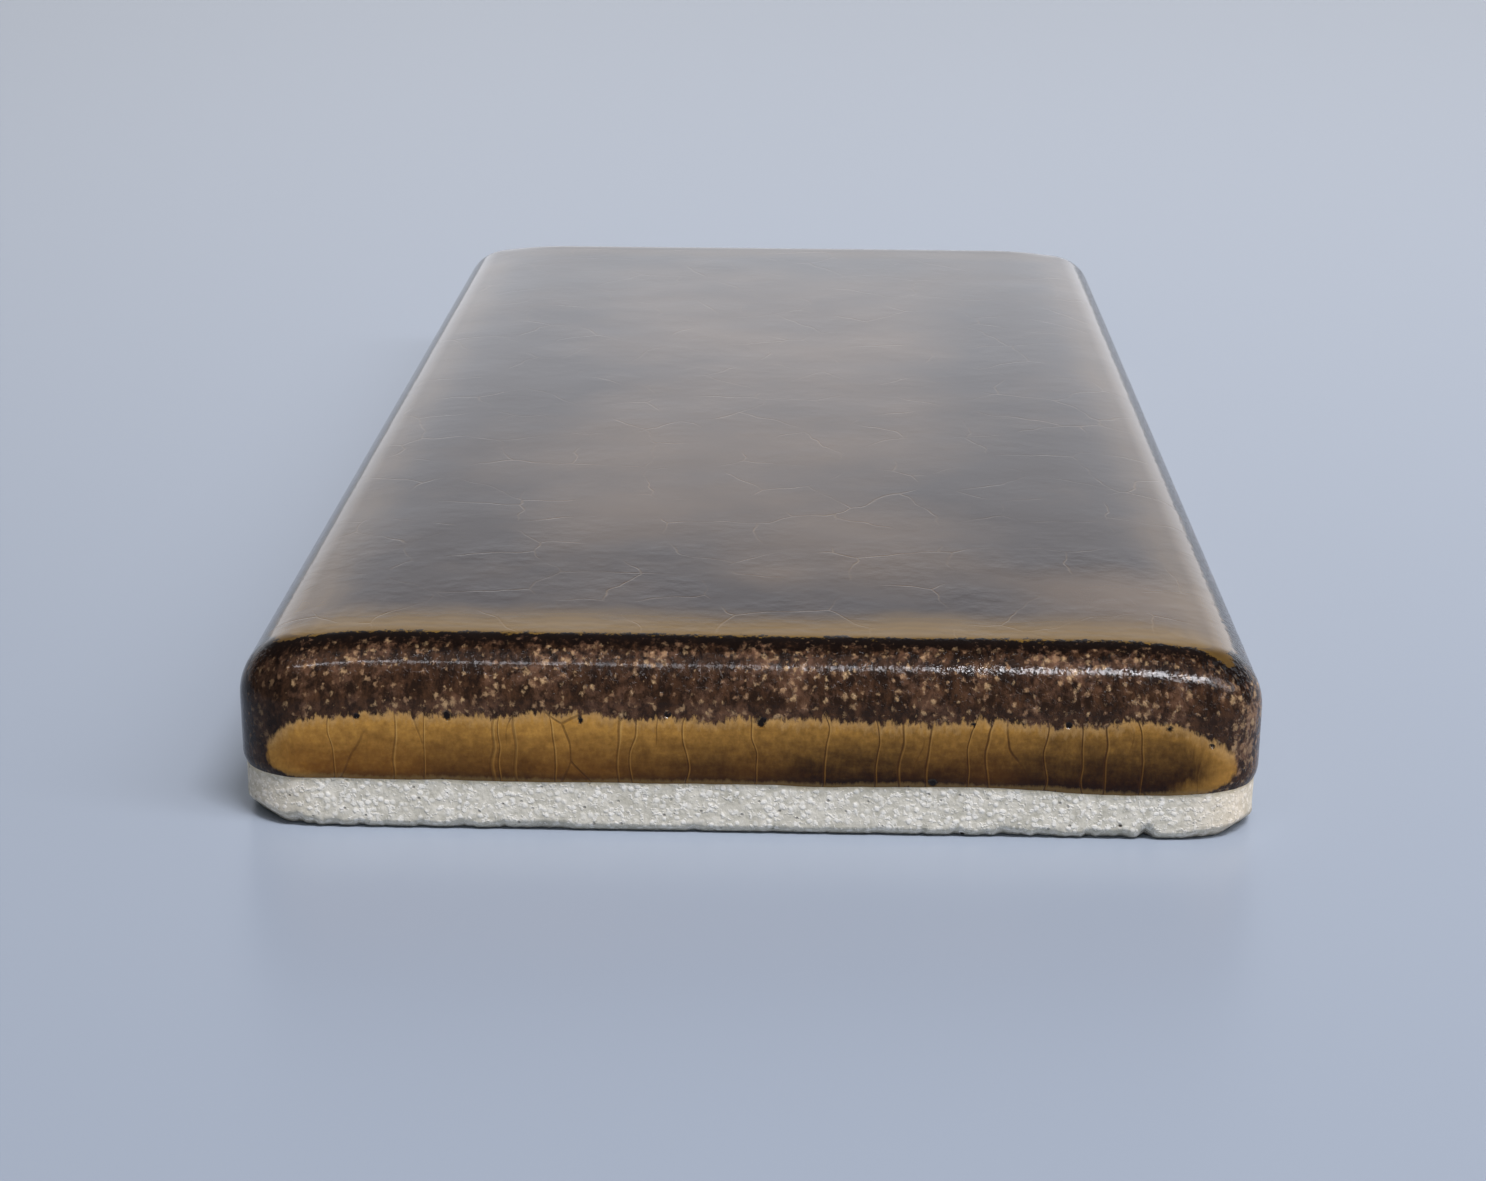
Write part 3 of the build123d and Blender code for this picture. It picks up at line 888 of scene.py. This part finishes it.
# %% Glaze lip and worn foot
FOOT_CHIPS = (
    # x and y on the lower edge, reach and depth, in mm: three chips in front, then two worn corners
    (29, -75, 0.7, 0.9), (18.5, -75, 0.6, 0.4), (-33, -75, 0.7, 0.4),
    (-36, -73, 5.0, 0.9), (36, -73, 4.0, 0.7),
)
lip_share = fold_node(MINUS, 1.0, fold_node(OVER, run_field, size["Lip height"]), use_clamp=True)
lip_inset = fold_node(TIMES, fold_node(TIMES, lip_share, lip_share), size["Glaze build"])
chips = fold_node(NOISE, outer, 1 / (1.4 * MM), 4.0)
arris = fold_node(TIMES_PLUS, fold_node(RANGE, chips, 0.52, 0.78), size["Chip depth"], size["Base arris"])
for x, y, reach, chip in FOOT_CHIPS:
    distance = fold_node(DISTANCE, outer, (x * MM, y * MM, 0.0)).outputs["Value"]
    arris = fold_node(PLUS, arris, fold_node(RANGE, distance, reach * MM, 0.0, 0.0, chip * MM))
arris_inset = fold_node(LARGER, fold_node(MINUS, arris, side_z), 0.0)
inset = fold_node(PLUS, lip_inset, arris_inset)
side_place = fold_node("ShaderNodeVectorMath SUBTRACT", outer, fold_node(SCALE, out, inset))
print("chips placed by hand:", len(FOOT_CHIPS))

# %% Wavy glaze line
DIP_PLACE = (26 * MM, -75 * MM, 0.0)
DIP_REACH, DIP_DEPTH = 9 * MM, 0.35 * MM
wave_noise = fold_node(NOISE, outer, 1 / (16 * MM), 4.0, 0.55)
wave = fold_node(TIMES, fold_node(MINUS, wave_noise, 0.5), size["Glaze line wave"])
dip_away = fold_node(DISTANCE, outer, DIP_PLACE).outputs["Value"]
dip = fold_node(RANGE, dip_away, DIP_REACH, 0.0, 0.0, -DIP_DEPTH, **SMOOTH)
wave = fold_node(PLUS, wave, dip)
wave_off = fold_node(OVER, fold_node(UNSIGNED, run_field), size["Wave fade"])
wave_share = fold_node(MINUS, 1.0, wave_off, use_clamp=True)
waved_z = fold_node(TIMES_PLUS, wave, wave_share, side_z)
print(f"glaze line dips {DIP_DEPTH / MM:.2f} mm near the right end of the front")

# %% Folded place of every point
side_xyz = fold_node(SPLIT, side_place).outputs
side_point = fold_node(COMBINE, side_xyz["X"], side_xyz["Y"], waved_z)
below_foot = fold_node(MINUS, 0.5 * (UNDER_RUN + FOOT_HEIGHT), size["Foot height"])
is_top = fold_node("ShaderNodeMath GREATER_THAN", run_field, below_foot)
level_z = fold_node(TIMES, crown_z, is_top)
level_point = fold_node(COMBINE, flat_xyz["X"], flat_xyz["Y"], level_z)
folded_point = fold_node(MIX, on_band, level_point, side_point, data_type="VECTOR")
folded = fold_node("GeometryNodeSetPosition", size["Net"], None, folded_point)
print("places worked out by", len(fold.nodes), "nodes")

# %% Relief, pressed inwards
folded_place = fold_node("GeometryNodeInputPosition")
grit_noise = fold_node(NOISE, folded_place, 1 / (0.9 * MM), 3.0, 0.6)
below_glaze = fold_node(RANGE, run_field, 0.0, -0.3 * MM)
above_base = fold_node(RANGE, run_field, -FOOT_HEIGHT - 0.1 * MM, -FOOT_HEIGHT + 0.1 * MM)
on_foot = fold_node(TIMES, below_glaze, above_base)
grit_depth = fold_node(TIMES, fold_node(TIMES, grit_noise, on_foot), size["Foot grit"])
swell_noise = fold_node(NOISE, folded_place, 1 / (22 * MM), 2.0)
on_face = fold_node(RANGE, run_field, WALL_HEIGHT, FACE_RUN)
swell_depth = fold_node(TIMES, fold_node(TIMES, swell_noise, on_face), size["Face swell"])
depth = fold_node(PLUS, grit_depth, swell_depth)
pressed = fold_node(SCALE, fold_node("GeometryNodeInputNormal"), fold_node(TIMES, depth, -1.0))
dressed = fold_node("GeometryNodeSetPosition", folded, None, None, pressed)
print(f"face swell at most {FOLD_SIZES['Face swell'] / MM:.2f} mm deep")

# %% Finishes of glaze and foot
real = fold_node("GeometryNodeRealizeInstances", dressed)
glazed = fold_node("GeometryNodeSetMaterial", real, None, glaze)
is_bare = fold_node("FunctionNodeCompare LESS_THAN", run_field, 0.0, data_type="FLOAT")
fold_node("NodeGroupOutput", fold_node("GeometryNodeSetMaterial", glazed, is_bare, stoneware))
print("fold:", len(fold.nodes), "nodes")

# %% Fold the net and keep the result as a plain mesh
folding = tile.modifiers.new("fold", "NODES")
folding.node_group = fold
for name, value in FOLD_SIZES.items():
    folding[identifiers[name]] = value
evaluated = tile.evaluated_get(bpy.context.evaluated_depsgraph_get())
folded_mesh = bpy.data.meshes.new_from_object(evaluated)
tile.modifiers.remove(folding)
tile.data = folded_mesh
print("tile:", len(folded_mesh.polygons), "faces,", [m.name for m in folded_mesh.materials])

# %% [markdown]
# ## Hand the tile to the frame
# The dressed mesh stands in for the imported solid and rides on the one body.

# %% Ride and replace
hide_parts("glazed_tile")
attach(tile, "root")
